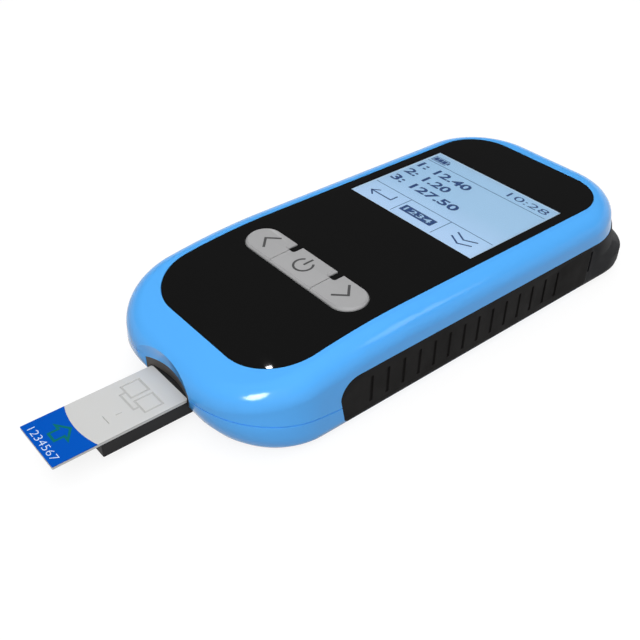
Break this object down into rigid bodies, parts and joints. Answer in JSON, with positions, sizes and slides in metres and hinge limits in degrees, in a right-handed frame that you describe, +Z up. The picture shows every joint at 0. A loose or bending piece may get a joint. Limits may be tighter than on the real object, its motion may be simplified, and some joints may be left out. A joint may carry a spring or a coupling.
{
  "type": "coagulation analyzer",
  "caption": "Hand-held blood coagulation analyzer with a display, a key row, side grips and a sliding tray that carries a test card.",
  "frame": {"origin": "middle of the whole footprint, card and tray out as in use, on the surface the feet stand on", "axes": "+Y from the nose with the card mouth towards the tail, +Z up out of the front panel, +X to the right of a user who reads the display from the nose"},
  "size_m": [0.079, 0.2186, 0.0299],
  "materials": {
    "blue_shell": "glossy moulded plastic, bright sky blue",
    "panel_black": "glossy black panel",
    "window_clear": "clear hard-coated window",
    "foam_black": "thin adhesive foam",
    "lcd_pale": "pale blue lit display",
    "diffuser_white": "milky light plate",
    "frame_black": "fine matt moulding",
    "silicone_grey": "soft silicone",
    "spring_steel": "plated spring steel",
    "board_green": "solder mask over glass laminate",
    "chip_black": "moulded component body",
    "socket_steel": "plated steel",
    "infrared_red": "dark red filter",
    "bezel_dark": "matt warm dark grey",
    "heater_alloy": "machined plate",
    "grip_rubber": "soft ribbed rubber",
    "bumper_black": "satin black moulding",
    "cell_jacket": "plain printed can",
    "screw_steel": "plated steel",
    "foot_rubber": "soft rubber",
    "key_silver": "satin silver lacquer",
    "tray_dark": "matt dark grey moulding",
    "card_white": "fine satin white plastic",
    "label_blue": "printed blue film"
  },
  "bodies": {
    "case": {"upper_shell": "blue_shell", "lower_shell": "blue_shell", "front_panel": "panel_black", "display_window": "window_clear", "panel_gasket": "foam_black", "lcd_panel": "lcd_pale", "lcd_backlight": "diffuser_white", "lcd_frame": "frame_black", "keypad_mat": "silicone_grey", "key_switches": "spring_steel", "main_board": "board_green", "board_chips": "chip_black", "buzzer": "chip_black", "tail_board": "board_green", "data_socket": "socket_steel", "infrared_window": "infrared_red", "card_bezel": "bezel_dark", "tray_guide": "frame_black", "heater_block": "heater_alloy", "optics_head": "chip_black", "sensor_board": "board_green", "tray_switch": "chip_black", "left_grip": "grip_rubber", "right_grip": "grip_rubber", "rear_bumper": "bumper_black", "battery_bay": "frame_black", "battery_cells": "cell_jacket", "battery_contacts": "spring_steel", "case_screws": "screw_steel", "rubber_feet": "foot_rubber"},
    "tray": {"card_tray": "tray_dark"},
    "card": {"test_card": "card_white", "card_label": "label_blue"},
    "left_button": {"left_key": "key_silver"},
    "power_button": {"power_key": "key_silver"},
    "right_button": {"right_key": "key_silver"},
    "door": {"battery_door": "blue_shell"}
  },
  "joints": [
    {"name": "tray_slide", "type": "slide", "parent": "case", "child": "tray", "axis": [0, 1, 0], "range_m": [0, 0.0275]},
    {"name": "card_slide", "type": "slide", "parent": "tray", "child": "card", "axis": [0, -1, 0], "range_m": [0, 0.0275]},
    {"name": "left_key_press", "type": "slide", "parent": "case", "child": "left_button", "axis": [0, 0, -1], "range_m": [0, 0.0005], "stiffness_N_per_m": 3000},
    {"name": "power_key_press", "type": "slide", "parent": "case", "child": "power_button", "axis": [0, 0, -1], "range_m": [0, 0.0005], "stiffness_N_per_m": 3000},
    {"name": "right_key_press", "type": "slide", "parent": "case", "child": "right_button", "axis": [0, 0, -1], "range_m": [0, 0.0005], "stiffness_N_per_m": 3000},
    {"name": "door_slide", "type": "slide", "parent": "case", "child": "door", "axis": [0, 1, 0], "range_m": [0, 0.005]}
  ]
}
